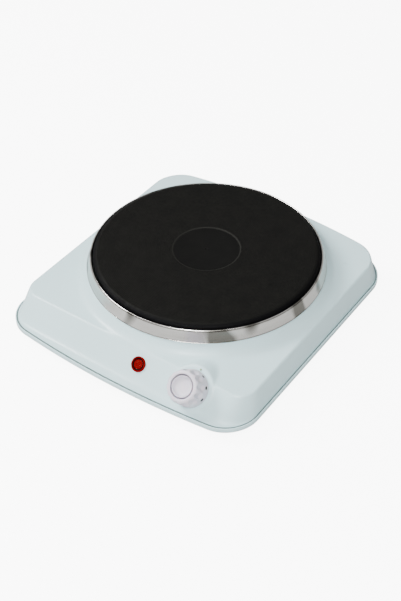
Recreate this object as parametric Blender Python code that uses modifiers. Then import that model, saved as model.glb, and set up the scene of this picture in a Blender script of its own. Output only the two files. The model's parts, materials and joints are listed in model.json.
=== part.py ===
"""Free-standing electric hot plate with one cast iron plate.

Lengths in the constants and in every helper are millimetres; MM turns them into Blender's metres.
The origin is the middle of the footprint, on the surface that the feet stand on. The front, with the
knob, faces -Y, and +Z is up.
"""

import math

import bmesh
import bpy
from mathutils import Matrix, Vector

MM = 0.001
GAP = 0.3                     # left between touching pieces

# Overall size
BODY_W = 230.0                # over the lip
LIP_FRONT = -116.2            # y of the lip at its corners, before the bow
LIP_BACK = 113.5
BOW_FRONT = 8.3               # how far the middle of the front bulges out
BOW_BACK = 11.0
FOOT_H = 9.0                  # underside of the lip above the table
DECK_Z = 31.1
PLATE_TOP = 53.5
SHEET = 0.8                   # housing steel

# Hotplate
PLATE_Y = 8.4
PLATE_R = 92.5
OPENING_R = 90.5              # hole in the housing under the plate
SHELF_R = 97.0                # flat top of the collar that the ring stands on
SHELF_DROP = 13.2             # below the plate's top
COLLAR_R = 107.4              # where the collar has run out into the deck
COIL_RADII = (46.0, 68.0)
COIL_WIRE_R = 1.6
COIL_GAP = 4.8                # half the space between the two ends of a coil
SEAL_R, SEAL_ROPE_R = 92.1, 1.9

# Front panel: a plane that falls from the crease at the deck's front edge
CREASE_Y = -96.8
PANEL_TILT = math.radians(44)
PANEL_FOOT_Z = 13.4           # where the panel meets the flange above the lip
PANEL_FOOT_BOW = 3.0
KNOB_X, KNOB_DOWN = 64.1, 9.75       # place on the panel, measured down from the crease
LAMP_X, LAMP_DOWN = 15.9, 11.4
SEAT_R = 18.0
SEAT_FOOT_R = 24.1
SEAT_RAISE = 0.4
FLUTES, FLUTE_AT = 13, 16.2
FIRST_FLUTE = math.radians(12.2)     # clockwise from straight up the slope

# Feet, each under a post welded to the deck
FOOT_PLACES = ((-94.0, -84.0), (94.0, -84.0), (94.0, 99.0), (-94.0, 99.0))
FOOT_R = 9.0
BASE_Z = 9.6                  # underside of the bottom cover
BASE_SHEET = 0.6
BASE_TOP = BASE_Z + BASE_SHEET

# Mains inlet, on the back
GLAND_X, GLAND_Z = -12.0, 21.5
GLAND_FACE_Y = 123.9
GLAND_BORE_R = 4.2
GLAND_NECK_R = 6.2

# Thermostat, measured from the knob's axis on the panel: +Y up the slope, +Z out of the panel
SPINDLE_R = 3.0
STACK_UP = 12.5
ARM_HINGE_UP = 8.4
ARM_DROP = -10.8
SCREW_SPREAD = 8.8

for old in list(bpy.data.objects):
    bpy.data.objects.remove(old, do_unlink=True)

PARTS = bpy.data.collections.new("hot_plate_burner")
CUTTERS = bpy.data.collections.new("cutters")
bpy.context.scene.collection.children.link(PARTS)
bpy.context.scene.collection.children.link(CUTTERS)


def material(name, color, roughness, metallic=0.0):
    made = bpy.data.materials.new(name)
    made.use_nodes = True
    shader = made.node_tree.nodes["Principled BSDF"]
    shader.inputs["Base Color"].default_value = (*color, 1.0)
    shader.inputs["Roughness"].default_value = roughness
    shader.inputs["Metallic"].default_value = metallic
    return made


ENAMEL = material("enamel", (0.66, 0.72, 0.72), 0.3)
CAST_IRON = material("cast_iron", (0.015, 0.014, 0.013), 0.6)
STAINLESS = material("stainless", (0.62, 0.60, 0.56), 0.22, 1.0)
ZINC = material("zinc_steel", (0.55, 0.56, 0.58), 0.4, 1.0)
BRASS = material("brass", (0.72, 0.55, 0.26), 0.35, 1.0)
RUBBER = material("rubber", (0.03, 0.03, 0.03), 0.8)
KNOB_WHITE = material("knob_white", (0.63, 0.60, 0.63), 0.35)
CERAMIC = material("ceramic", (0.75, 0.72, 0.66), 0.6)
MAGNESIA = material("magnesia", (0.70, 0.68, 0.64), 0.9)
FIBRE = material("fibre", (0.60, 0.57, 0.50), 0.95)
LAMP_RED = material("lamp_red", (0.25, 0.01, 0.01), 0.3)
LENS_RED = material("lens_red", (0.60, 0.01, 0.0), 0.15)
GLASS = material("neon_glass", (0.85, 0.80, 0.75), 0.05)
LEAD_BROWN = material("lead_brown", (0.20, 0.09, 0.04), 0.6)
LEAD_BLUE = material("lead_blue", (0.05, 0.16, 0.40), 0.6)
LEAD_EARTH = material("lead_earth", (0.45, 0.55, 0.05), 0.6)
DARK_PLASTIC = material("dark_plastic", (0.02, 0.02, 0.02), 0.5)


# --- placing -------------------------------------------------------------------------------------


def empty(name, at, rotation=(0, 0, 0), parent=None):
    made = bpy.data.objects.new(name, None)
    PARTS.objects.link(made)
    made.parent = parent
    made.location = Vector(at) * MM
    made.rotation_euler = rotation
    return made


PLATE = empty("plate_axis", (0, PLATE_Y, PLATE_TOP))
PANEL = empty("front_panel", (0, CREASE_Y, DECK_Z), (PANEL_TILT, 0, 0))
KNOB = empty("knob_axis", (KNOB_X, -KNOB_DOWN, 0), parent=PANEL)
LAMP = empty("lamp_axis", (LAMP_X, -LAMP_DOWN, 0), parent=PANEL)


def place(name, data, look, at=(0, 0, 0), rotation=(0, 0, 0), parent=None):
    """A piece in the parts collection, or a cutter when it has no material."""
    made = bpy.data.objects.new(name, data)
    made.location = Vector(at) * MM
    made.rotation_euler = rotation
    made.parent = parent
    if look is None:
        CUTTERS.objects.link(made)
        made.hide_render = True
        made.display_type = "WIRE"
    else:
        PARTS.objects.link(made)
        data.materials.append(look)
    return made


def mesh_from(bm, name, smooth=40):
    mesh = bpy.data.meshes.new(name)
    bm.to_mesh(mesh)
    bm.free()
    mesh.shade_smooth()
    mesh.set_sharp_from_angle(angle=math.radians(smooth))
    return mesh


# --- shapes --------------------------------------------------------------------------------------


def turned(name, profile, look, steps=48, loop=False, **where):
    """Profile points (radius, height), top to bottom down the outer side, turned about Z."""
    bm = bmesh.new()
    verts = [bm.verts.new(Vector((r, 0, z)) * MM) for r, z in profile]
    for a, b in zip(verts, verts[1:]):
        bm.edges.new((a, b))
    if loop:
        bm.edges.new((verts[-1], verts[0]))
    made = place(name, mesh_from(bm, name), look, **where)
    screw = made.modifiers.new("turn", "SCREW")
    screw.steps = steps
    screw.render_steps = steps
    screw.use_merge_vertices = True
    screw.merge_threshold = 0.00001
    return made


def rod(name, radius, low, high, look, segments=24, top_radius=None, **where):
    """An upright cylinder or cone between two heights."""
    bm = bmesh.new()
    bmesh.ops.create_cone(
        bm, cap_ends=True, segments=segments, radius1=radius * MM,
        radius2=(radius if top_radius is None else top_radius) * MM, depth=(high - low) * MM,
        matrix=Matrix.Translation(Vector((0, 0, (low + high) / 2)) * MM),
    )
    return place(name, mesh_from(bm, name), look, **where)


def ring(name, inner, outer, low, high, look, steps=20, **where):
    """A tube, washer or bush."""
    corners = [(inner, high), (outer, high), (outer, low), (inner, low)]
    return turned(name, corners, look, steps=steps, loop=True, **where)


def nut(name, hole_r, corner_r, low, high, look, **where):
    """A hexagonal nut with a round hole."""
    made = rod(name, corner_r, low, high, look, segments=6, **where)
    cut(made, rod(name + "_hole", hole_r, low - 1, high + 1, None, segments=20, **where))
    return made


def box(name, low, high, look, bevel=0.0, **where):
    """A block between two corners."""
    low, high = Vector(low) * MM, Vector(high) * MM
    bm = bmesh.new()
    bmesh.ops.create_cube(bm, size=1.0)
    bmesh.ops.scale(bm, vec=high - low, verts=bm.verts)
    bmesh.ops.translate(bm, vec=(low + high) / 2, verts=bm.verts)
    made = place(name, mesh_from(bm, name), look, **where)
    if bevel:
        edge = made.modifiers.new("edges", "BEVEL")
        edge.width = bevel * MM
        edge.segments = 1
    return made


def strip(name, path, width, thickness, look, **where):
    """A sheet strip across X that follows (y, z) points; its thickness lies below them."""
    bm = bmesh.new()
    rows = [
        [bm.verts.new(Vector((x, y, z)) * MM) for x in (-width / 2, width / 2)] for y, z in path
    ]
    for (a, b), (c, d) in zip(rows, rows[1:]):
        bm.faces.new((a, b, d, c))
    made = place(name, mesh_from(bm, name), look, **where)
    sheet = made.modifiers.new("sheet", "SOLIDIFY")
    sheet.thickness = thickness * MM
    sheet.use_even_offset = True
    return made


def smooth_route(points, per_span=2):
    """Points of a Catmull-Rom curve through a lead's own points."""
    ends = [points[0], *points, points[-1]]
    route = []
    for before, a, b, after in zip(ends, ends[1:], ends[2:], ends[3:]):
        p0, p1, p2, p3 = map(Vector, (before, a, b, after))
        for i in range(per_span):
            t = i / per_span
            route.append(0.5 * (2 * p1 + (p2 - p0) * t + (2 * p0 - 5 * p1 + 4 * p2 - p3) * t**2
                                + (3 * p1 - p0 - 3 * p2 + p3) * t**3))
    return route + [Vector(points[-1])]


def wire(name, points, radius, look, **where):
    """A round wire through the points given."""
    curve = bpy.data.curves.new(name, "CURVE")
    curve.dimensions = "3D"
    curve.bevel_depth = radius * MM
    curve.bevel_resolution = 1
    curve.use_fill_caps = True
    spline = curve.splines.new("POLY")
    spline.points.add(len(points) - 1)
    for target, point in zip(spline.points, points):
        target.co = (*(Vector(point) * MM), 1.0)
    return place(name, curve, look, **where)


def loft(name, rings, look):
    """A closed body through rings of equal point count, given from bottom to top."""
    bm = bmesh.new()
    loops = [[bm.verts.new(Vector(p) * MM) for p in points] for points in rings]
    for low, high in zip(loops, loops[1:]):
        for i, vert in enumerate(low):
            j = (i + 1) % len(low)
            bm.faces.new((vert, low[j], high[j], high[i]))
    bm.faces.new(reversed(loops[0]))
    bm.faces.new(loops[-1])
    return place(name, mesh_from(bm, name, smooth=25), look)


def boolean(target, other, operation):
    step = target.modifiers.new(operation.lower(), "BOOLEAN")
    step.operation = operation
    step.object = other


def cut(target, *cutters):
    for cutter in cutters:
        boolean(target, cutter, "DIFFERENCE")


def add(target, *others):
    for other in others:
        boolean(target, other, "UNION")


# --- housing -------------------------------------------------------------------------------------


def outline(z, half_w, front, bow_front, back, bow_back, r_front, r_back):
    """Rounded rectangle at height z whose front and back bulge, anticlockwise from above."""
    corners = (
        (half_w - r_back, back - r_back, r_back, 0),
        (r_back - half_w, back - r_back, r_back, 90),
        (r_front - half_w, front + r_front, r_front, 180),
        (half_w - r_front, front + r_front, r_front, 270),
    )
    flat = []
    for x, y, r, start in corners:
        for i in range(7):
            turn = math.radians(start + i * 15)
            flat.append((x + r * math.cos(turn), y + r * math.sin(turn)))
    points = []
    for i, (x, y) in enumerate(flat):
        points.append((x, y))
        if i % 7 == 6:
            x1, y1 = flat[(i + 1) % len(flat)]
            points += [(x + (x1 - x) * k / 6, y + (y1 - y) * k / 6) for k in range(1, 6)]
    bulged = []
    for x, y in points:
        bow = bow_back if y > 0 else -bow_front
        bulged.append((x, y + bow * (1 - (x / half_w) ** 2), z))
    return bulged


def panel_y(z):
    """Where the front panel's plane is at a height."""
    return CREASE_Y - (DECK_Z - z) / math.tan(PANEL_TILT)


def housing_levels():
    """Outer skin from the lip's underside to the deck."""
    half = BODY_W / 2
    lip = (LIP_FRONT, BOW_FRONT, LIP_BACK, BOW_BACK, 25.7, 27.0)
    foot_z, edge_z = PANEL_FOOT_Z, DECK_Z - 1.2
    return [
        outline(FOOT_H, half - 0.4, LIP_FRONT + 0.4, BOW_FRONT, LIP_BACK - 0.4, BOW_BACK, 25.7, 27.0),
        outline(FOOT_H + 0.5, half, *lip),
        outline(FOOT_H + 3.4, half, *lip),
        outline(FOOT_H + 3.8, half - 0.5, LIP_FRONT + 0.5, BOW_FRONT, LIP_BACK - 0.5, BOW_BACK, 25.5, 26.8),
        outline(FOOT_H + 4.0, half - 1.6, LIP_FRONT + 1.4, 6.2, LIP_BACK - 1.6, BOW_BACK, 25.0, 26.0),
        outline(foot_z, half - 2.3, panel_y(foot_z) + PANEL_FOOT_BOW, PANEL_FOOT_BOW,
                LIP_BACK - 2.3, BOW_BACK, 24.0, 25.4),
        outline(edge_z, 108.9, panel_y(edge_z), 0.0, 106.9, BOW_BACK, 15.0, 22.2),
        outline(DECK_Z - 0.35, 108.2, CREASE_Y - 0.3, 0.0, 106.2, BOW_BACK, 14.4, 21.6),
        outline(DECK_Z, 107.0, CREASE_Y + 1.0, 0.0, 105.0, BOW_BACK, 13.2, 20.4),
    ]


def cavity_levels():
    """The inside, one sheet thickness within the skin and open at the bottom."""
    half = BODY_W / 2 - SHEET
    front, back = LIP_FRONT + SHEET, LIP_BACK - SHEET
    across = SHEET * math.sin(PANEL_TILT)
    down = SHEET * math.cos(PANEL_TILT)
    foot_z, edge_z = PANEL_FOOT_Z, DECK_Z - 1.2
    return [
        outline(FOOT_H - 1, half, front, BOW_FRONT, back, BOW_BACK, 24.9, 26.2),
        outline(FOOT_H + 3.0, half, front, BOW_FRONT, back, BOW_BACK, 24.9, 26.2),
        outline(FOOT_H + 3.3, half - 1.4, front + 1.3, 6.2, back - 1.4, BOW_BACK, 24.2, 25.2),
        outline(foot_z - down, half - 2.2, panel_y(foot_z) + PANEL_FOOT_BOW + across, PANEL_FOOT_BOW,
                back - 2.2, BOW_BACK, 23.2, 24.6),
        outline(edge_z - down, 108.2, panel_y(edge_z) + across, 0.0, 106.1, BOW_BACK, 14.4, 21.4),
        outline(DECK_Z - SHEET, 106.8, CREASE_Y + 0.8, 0.0, 104.8, BOW_BACK, 13.0, 20.0),
    ]


def collar_profile(inset):
    """Concave collar around the plate, one inset below its outer skin; it dips just under the deck."""
    top = -SHELF_DROP - inset
    deck = DECK_Z - PLATE_TOP - inset - 0.12
    fall = []
    for i in range(1, 6):
        t = i / 5
        r = SHELF_R - 0.6 * inset + (COLLAR_R - SHELF_R) * t
        fall.append((r, top + (deck - top) * (1 - (1 - t) ** 2)))
    return [(0, top), (SHELF_R - 0.6 * inset, top), *fall, (COLLAR_R - 0.3, deck - 1.5), (0, deck - 1.5)]


def seat(name, radius, foot_radius, top, floor_z):
    """Raised round seat behind the knob, kept above the foot of the panel."""
    made = rod(name, foot_radius, top - 14, top, None, segments=36, top_radius=radius, parent=KNOB)
    cut(made, box(name + "_trim", (-140, -200, -40), (140, 0, floor_z), None))
    return made


def make_housing():
    body = loft("housing", housing_levels(), ENAMEL)
    add(body, turned("collar_outer", collar_profile(0), None, steps=48, parent=PLATE))
    add(body, seat("seat_outer", SEAT_R, SEAT_FOOT_R, SEAT_RAISE, PANEL_FOOT_Z + 0.2))
    cavity = loft("cavity", cavity_levels(), None)
    add(cavity, turned("collar_inner", collar_profile(SHEET), None, steps=48, parent=PLATE))
    floor_z = PANEL_FOOT_Z + SHEET
    add(cavity, seat("seat_inner", SEAT_R - SHEET, SEAT_FOOT_R - SHEET, SEAT_RAISE - SHEET, floor_z))
    cut(body, cavity)
    for i, (x, y) in enumerate(FOOT_PLACES, 1):
        post = rod(f"post_{i}", 4.0, BASE_TOP + GAP, DECK_Z - SHEET / 2, None, at=(x, y, 0))
        hole = rod(f"post_hole_{i}", 1.9, 0, 23.0, None, segments=16, at=(x, y, 0))
        add(body, post)
        cut(body, hole)
    cut(
        body,
        rod("plate_opening", OPENING_R, -30, 0, None, segments=48, parent=PLATE),
        rod("spindle_hole", 4.5, -5, 5, None, parent=KNOB),
        rod("bracket_hole_1", 2.0, -5, 5, None, at=(SCREW_SPREAD, 0, 0), parent=KNOB),
        rod("bracket_hole_2", 2.0, -5, 5, None, at=(-SCREW_SPREAD, 0, 0), parent=KNOB),
        rod("lamp_hole", 4.9, -5, 5, None, parent=LAMP),
        rod("gland_hole", GLAND_NECK_R + GAP, -20, 20, None,
            at=(GLAND_X, GLAND_FACE_Y, GLAND_Z), rotation=(math.pi / 2, 0, 0)),
    )


def make_base():
    half = BODY_W / 2 - 1.3
    front, back = LIP_FRONT + 1.3, LIP_BACK - 1.3
    rim_z = FOOT_H + 2.6
    outer = loft("base_plate", [
        outline(BASE_Z, half - 0.5, front + 0.5, BOW_FRONT, back - 0.5, BOW_BACK, 24.4, 25.7),
        outline(BASE_Z + 0.5, half, front, BOW_FRONT, back, BOW_BACK, 24.4, 25.7),
        outline(rim_z, half, front, BOW_FRONT, back, BOW_BACK, 24.4, 25.7),
    ], ZINC)
    wall = BASE_SHEET
    cut(outer, loft("base_inside", [
        outline(BASE_TOP, half - wall, front + wall, BOW_FRONT, back - wall, BOW_BACK, 23.8, 25.1),
        outline(rim_z + 2, half - wall, front + wall, BOW_FRONT, back - wall, BOW_BACK, 23.8, 25.1),
    ], None))
    for row, y in enumerate((-40.0, 8.0, 56.0)):
        for i in range(5):
            x = (i - 2) * 18.0
            low, high = (x - 1.7, y - 15, BASE_Z - 2), (x + 1.7, y + 15, BASE_TOP + 2)
            cut(outer, box(f"vent_{row}_{i}", low, high, None))
    for i, (x, y) in enumerate(FOOT_PLACES, 1):
        cut(outer, rod(f"base_hole_{i}", 2.0, 0, 15, None, segments=16, at=(x, y, 0)))
        make_foot(i, x, y)
    cut(outer, rod("earth_hole", 1.8, 5, 15, None, segments=16, at=(30, 102, 0)))


def make_foot(i, x, y):
    profile = [
        (2.0, BASE_Z - GAP), (7.2, BASE_Z - GAP), (8.0, 8.3), (FOOT_R, 1.0), (FOOT_R - 0.8, 0), (4.3, 0),
        (4.3, 5.6), (2.0, 5.6),
    ]
    turned(f"foot_{i}", profile, RUBBER, steps=16, loop=True, at=(x, y, 0))
    screw = [(0, 20.0), (1.6, 20.0), (1.6, 5.2), (3.6, 5.2), (3.6, 3.6), (2.6, 3.0), (0, 3.0)]
    turned(f"foot_screw_{i}", screw, ZINC, steps=10, at=(x, y, 0))


# --- hotplate ------------------------------------------------------------------------------------


def make_hotplate():
    """Cast iron plate: a shallow centre recess on top, a grooved underside and a stud boss."""
    top = [(0, -0.6), (27.2, -0.6), (28.0, 0), (88.6, 0), (91.5, -1.3), (PLATE_R, -2.9), (PLATE_R, -6.5)]
    under = [(89.0, -6.9), (89.0, -13.2), (84.0, -13.2), (84.0, -6.5)]
    for r in reversed(COIL_RADII):
        for wall, start, end in ((r + 8, -6.5, -12.6), (r + 6, -12.6, -6.5)):
            under += [(wall, start), (wall, end)]
        for wall, start, end in ((r - 6, -6.5, -12.6), (r - 8, -12.6, -6.5)):
            under += [(wall, start), (wall, end)]
    boss = [(13.0, -8.0), (11.0, -13.2), (3.4, -13.2), (3.4, -7.5), (0, -7.5)]
    turned("hotplate", top + under + boss, CAST_IRON, steps=44, parent=PLATE)

    sheet = [(93.4, -6.9), (93.5, -3.4), (94.1, -2.9), (94.8, -3.6), (95.8, -7.9), (97.9, -12.9)]
    spill = turned("spill_ring", [(89.6, -7.3), (92.9, -7.3), *sheet], STAINLESS, steps=44, parent=PLATE)
    shell = spill.modifiers.new("sheet", "SOLIDIFY")
    shell.thickness = 0.4 * MM
    shell.offset = 0.0
    shell.use_even_offset = True

    seal = []
    for i in range(6):
        turn = math.radians(60 * i)
        seal.append((SEAL_R + SEAL_ROPE_R * math.cos(turn), -10.5 - SEAL_ROPE_R * math.sin(turn)))
    turned("ring_seal", seal, FIBRE, steps=36, loop=True, parent=PLATE)


def terminal_slot(i):
    """Opening for the coil ends through the packing and the under-cover."""
    low, high = COIL_RADII[0] - 7, COIL_RADII[1] + 7
    return box(f"terminal_slot_{i}", (-8, low, -30), (8, high, -10), None, parent=PLATE)


def make_heater():
    for i, (r, word) in enumerate(zip(COIL_RADII, ("inner", "outer"))):
        start = math.asin(COIL_GAP / r)
        turn = 2 * math.pi - 2 * start
        count = 24
        loop = [math.pi / 2 - start - turn * k / count for k in range(count + 1)]
        arc = [(r * math.cos(a), r * math.sin(a), -8.7) for a in loop]
        path = [(arc[0][0], arc[0][1], -14.4), *arc, (arc[-1][0], arc[-1][1], -14.4)]
        wire(f"heating_coil_{word}", path, COIL_WIRE_R, ZINC, parent=PLATE)
        packing = ring(f"magnesia_{word}", r - 5.6, r + 5.6, -12.8, -10.7, MAGNESIA, steps=32, parent=PLATE)
        cut(packing, terminal_slot(i))

    cover = ring("under_cover", 3.5, 88.4, -14.1, -13.5, ZINC, steps=36, parent=PLATE)
    cut(cover, terminal_slot(2))

    block = box("plate_terminal_block", (-9, 39, -21.5), (9, 75, -14.7), CERAMIC, bevel=0.8, parent=PLATE)
    for i, (x, r) in enumerate((x, r) for r in COIL_RADII for x in (COIL_GAP, -COIL_GAP)):
        y = math.sqrt(r**2 - x**2)
        cut(block, rod(f"pin_hole_{i}", 1.6, -30, -10, None, segments=16, at=(x, y, 0), parent=PLATE))
        rod(f"terminal_pin_{i + 1}", 1.2, -26.0, -14.8, BRASS, segments=12, at=(x, y, 0), parent=PLATE)

    rod("overheat_cutout", 7.0, -19.2, -14.6, ZINC, at=(40, -40, 0), parent=PLATE)


def make_clamp():
    """What holds the plate down on the collar: stud, bridge, shield, washer and nut."""
    path = [(-95.3, -14.6), (-87, -14.6), (-81, -18.0), (81, -18.0), (87, -14.6), (95.3, -14.6)]
    bridge = strip("clamp_bridge", path, 20.0, 1.5, ZINC, rotation=(0, 0, -math.pi / 2), parent=PLATE)
    cut(bridge, rod("bridge_hole", 3.4, -40, 0, None, parent=PLATE))

    top = -19.9
    rim = [(78.6, top), (79.6, top - 4.0), (79.0, top - 4.0), (78.2, top - 0.5)]
    shield = [(3.4, top), *rim, (3.4, top - 0.5)]
    made = turned("heat_shield", shield, ZINC, steps=36, loop=True, parent=PLATE)
    cut(made, box("shield_notch", (-11, 36, -40), (11, 77.2, -10), None, parent=PLATE))

    rod("centre_stud", 3.0, -29.0, -7.9, ZINC, segments=20, parent=PLATE)
    ring("stud_washer", 3.4, 6.5, -22.0, -20.7, ZINC, parent=PLATE)
    nut("stud_nut", 3.4, 5.8, -27.3, -22.3, ZINC, parent=PLATE)


# --- knob, thermostat and lamp -------------------------------------------------------------------


def make_knob():
    """Grip on a hub, scooped round its upper half, with a loose cap in its top."""
    top = [(0, 16.0), (9.3, 16.0), (9.3, 17.2), (11.2, 17.4), (12.6, 16.6), (13.4, 15.0), (14.2, 7.0)]
    side = [(14.5, SEAT_RAISE + GAP), (12.8, SEAT_RAISE + GAP), (12.4, 6.0), (11.6, 14.2)]
    hub = [(5.8, 14.2), (5.8, 2.8), (3.4, 2.8), (3.4, 13.0), (0, 13.0)]
    body = turned("knob", top + side + hub, KNOB_WHITE, steps=36, parent=KNOB)
    for i in range(FLUTES):
        turn = FIRST_FLUTE + 2 * math.pi * i / FLUTES
        place_at = (FLUTE_AT * math.sin(turn), FLUTE_AT * math.cos(turn), 0)
        cut(body, rod(f"flute_{i}", 1.6, 5, 20, None, segments=12, top_radius=4.9, at=place_at, parent=KNOB))
    cap = [(0, 17.0), (6.0, 17.3), (8.3, 17.7), (9.0, 17.2), (9.0, 16.3), (0, 16.3)]
    turned("knob_cap", cap, KNOB_WHITE, steps=28, parent=KNOB)

    spindle = rod("spindle", SPINDLE_R, -7.0, 12.6, ZINC, segments=32, parent=KNOB)
    cut(spindle, box("spindle_flat", (1.6, -5, 2.6), (6, 5, 15), None, parent=KNOB))
    box("knob_spring_clip", (1.9, -1.4, 3.2), (2.7, 1.4, 12.2), ZINC, parent=KNOB)


def make_thermostat():
    bracket = box("thermostat_bracket", (-12, -6, -2.0), (12, 6, -0.8), ZINC, parent=KNOB)
    add(bracket, box("bracket_arm", (-5, 0, -2.0), (5, 16.4, -0.8), None, parent=KNOB))
    cut(bracket, rod("bush_hole", 3.4, -5, 0, None, parent=KNOB))
    for i, x in enumerate((-SCREW_SPREAD, SCREW_SPREAD), 1):
        cut(bracket, rod(f"thread_{i}", 1.9, -5, 0, None, segments=16, at=(x, 0, 0), parent=KNOB))
        screw = [(0, 2.2), (2.4, 2.0), (3.1, 1.2), (3.1, 0.7), (1.6, 0.7), (1.6, -4.0), (0, -4.0)]
        turned(f"bracket_screw_{i}", screw, ZINC, steps=12, at=(x, 0, 0), parent=KNOB)
    ring("spindle_bush", 3.4, 5.5, -6.4, -2.3, BRASS, parent=KNOB)

    stack = [(0, -2.3), (3.8, -2.3), (3.8, -15.0), (0, -15.0)]
    turned("ceramic_stack", stack, CERAMIC, steps=16, at=(0, STACK_UP, 0), parent=KNOB)
    rod("thermostat_pusher", 2.1, -10.2, -7.4, CERAMIC, segments=16, parent=KNOB)
    arm_top = ARM_DROP + 0.2
    strip("contact_arm", [(-5.0, arm_top), (ARM_HINGE_UP, arm_top)], 6.0, 0.4, BRASS, parent=KNOB)
    strip("bimetal_blade", [(-4.0, -12.7), (ARM_HINGE_UP, -12.7)], 7.0, 0.5, ZINC, parent=KNOB)
    box("switched_terminal", (-7.5, 9.2, -11.2), (-4.1, 17.0, -10.4), BRASS, parent=KNOB)
    box("live_terminal", (4.1, 9.2, -13.2), (7.5, 17.0, -12.4), BRASS, parent=KNOB)


def make_lamp():
    flange = [(3.7, 1.3), (5.2, 1.7), (6.1, 1.2), (6.2, GAP), (4.6, GAP), (4.6, -8.0), (3.7, -8.0)]
    turned("lamp_bezel", flange, LAMP_RED, steps=20, loop=True, parent=LAMP)
    lens = [(0, 1.7), (1.8, 1.5), (3.0, 1.1), (3.4, 0.6), (3.4, -3.5), (0, -3.5)]
    turned("lamp_lens", lens, LENS_RED, steps=18, parent=LAMP)
    tube = [(0, -4.2), (1.4, -4.6), (2.3, -5.8), (2.4, -9.6), (1.6, -11.0), (0, -11.4)]
    turned("neon_tube", tube, GLASS, steps=16, parent=LAMP)
    nut("lamp_nut", 4.9, 7.0, -3.2, -1.2, ZINC, parent=LAMP)


# --- mains side ----------------------------------------------------------------------------------


def make_inlet():
    """Gland in the back wall, cut to lie against it, with its nut inside."""
    facing = {"at": (GLAND_X, 0, GLAND_Z), "rotation": (-math.pi / 2, 0, 0)}
    face = GLAND_FACE_Y
    flange = [(GLAND_BORE_R, face), (7.0, face), (8.0, face - 1), (8.0, face - 12), (GLAND_BORE_R, face - 12)]
    gland = turned("cord_gland", flange, DARK_PLASTIC, steps=32, loop=True, **facing)
    grown = []
    for points in housing_levels():
        grown.append([(x * (1 + GAP / 110), y * (1 + GAP / 110), z) for x, y, z in points])
    cut(gland, loft("wall_shape", grown, None))
    neck = ring("gland_neck", GLAND_BORE_R, GLAND_NECK_R, face - 14, face - 1.5, None, steps=32, **facing)
    add(gland, neck)
    nut("gland_nut", GLAND_NECK_R + GAP, 8.6, face - 11.4, face - 8, DARK_PLASTIC, **facing)


def make_mains_block():
    block = box("mains_terminal_block", (50, 84, BASE_TOP + GAP), (74, 98, 21.0), CERAMIC, bevel=0.8)
    for i in range(2):
        x = 56 + i * 12
        cut(block, rod(f"clamp_well_{i}", 2.2, 14.0, 25.0, None, segments=16, at=(x, 91, 0)))
        screw = [(0, 19.4), (1.8, 19.4), (1.8, 14.4), (0, 14.4)]
        turned(f"clamp_screw_{i + 1}", screw, BRASS, steps=12, at=(x, 91, 0))
    tag = box("earth_tag", (26, 92, BASE_TOP + GAP), (34, 106, BASE_TOP + 1.1), BRASS)
    cut(tag, rod("tag_hole", 1.8, 5, 15, None, segments=16, at=(30, 102, 0)))
    screw = [(0, 13.2), (2.6, 13.0), (3.0, 11.7), (1.4, 11.7), (1.4, 9.7), (0, 9.7)]
    turned("earth_screw", screw, ZINC, steps=16, at=(30, 102, 0))


def from_panel(x, down, across, up, out):
    """A point given from a place on the front panel: across it, up its slope and out of it."""
    rise = up - down
    y = CREASE_Y + rise * math.cos(PANEL_TILT) - out * math.sin(PANEL_TILT)
    return x + across, y, DECK_Z + rise * math.sin(PANEL_TILT) + out * math.cos(PANEL_TILT)


def make_leads():
    """Insulated leads; each stops a hair before what it is crimped or clamped to."""
    knob = (KNOB_X, KNOB_DOWN)
    lamp = (LAMP_X, LAMP_DOWN)
    pin = PLATE_TOP - 26.6
    near, far = (PLATE_Y + math.sqrt(r**2 - COIL_GAP**2) for r in COIL_RADII)
    live = [
        (68, 83, 15), (68, 78, 14.5), (84, 68, 14), (99, 30, 14), (100, -20, 14), (94, -60, 15),
        (82, -73, 21), from_panel(*knob, 6.9, 23.5, -17.5), from_panel(*knob, 5.8, 18.4, -13.3),
    ]
    wire("live_lead", smooth_route(live), 1.2, LEAD_BROWN)
    switched = [
        from_panel(*knob, -5.8, 18.4, -12.2), from_panel(*knob, -7.1, 23.0, -16.5),
        (48, -66, 22), (30, -40, 17), (22, 20, 17), (10, 46, 19),
        (COIL_GAP, near, 22.5), (COIL_GAP, near, pin),
    ]
    wire("switched_lead", smooth_route(switched), 1.2, LEAD_BROWN)
    neutral = [
        (56, 83, 15), (56, 79.5, 15), (40, 80, 19), (10, 83, 21), (-COIL_GAP, 80, 21),
        (-COIL_GAP, far, 23.5), (-COIL_GAP, far, pin),
    ]
    wire("neutral_lead", smooth_route(neutral), 1.2, LEAD_BLUE)
    earth = [(30, 91.6, 11.6), (30, 88, 12), (28, 78, 14), (24, 50, 19), (16, 22, 24), (7.4, PLATE_Y, 28)]
    wire("earth_lead", smooth_route(earth), 1.0, LEAD_EARTH)
    lamp_live = [
        from_panel(*lamp, -1.2, 0, -12.6), from_panel(*lamp, -1.2, 0.5, -14.4),
        (18, -88, 15.5), (26, -80, 17), (42, -80, 19),
        from_panel(*knob, -12.6, 13.6, -12.5), from_panel(*knob, -8.6, 13.4, -10.8),
    ]
    wire("lamp_lead_live", smooth_route(lamp_live), 0.8, LEAD_BROWN)
    lamp_neutral = [
        from_panel(*lamp, 1.2, 0, -12.6), from_panel(*lamp, 1.2, 1.0, -15.0),
        (14, -86, 11.9), (0, -60, 12), (-50, -20, 12), (-55, 40, 12),
        (-30, 74, 11.6), (20, 72, 11.6), (40, 78, 11.6), (49, 87, 12.6),
    ]
    wire("lamp_lead_neutral", smooth_route(lamp_neutral), 0.8, LEAD_BLUE)


make_housing()
make_base()
make_hotplate()
make_heater()
make_clamp()
make_knob()
make_thermostat()
make_lamp()
make_inlet()
make_mains_block()
make_leads()
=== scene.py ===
"""Looks of the free-standing hot plate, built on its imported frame.

Lengths are millimetres, and MM turns them into Blender's metres. Places come from the frame: the boxes
of its nodes and the knob's joint. A shell is a grid of points, from a few levels or a turned profile.
"""

import json
import math

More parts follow.
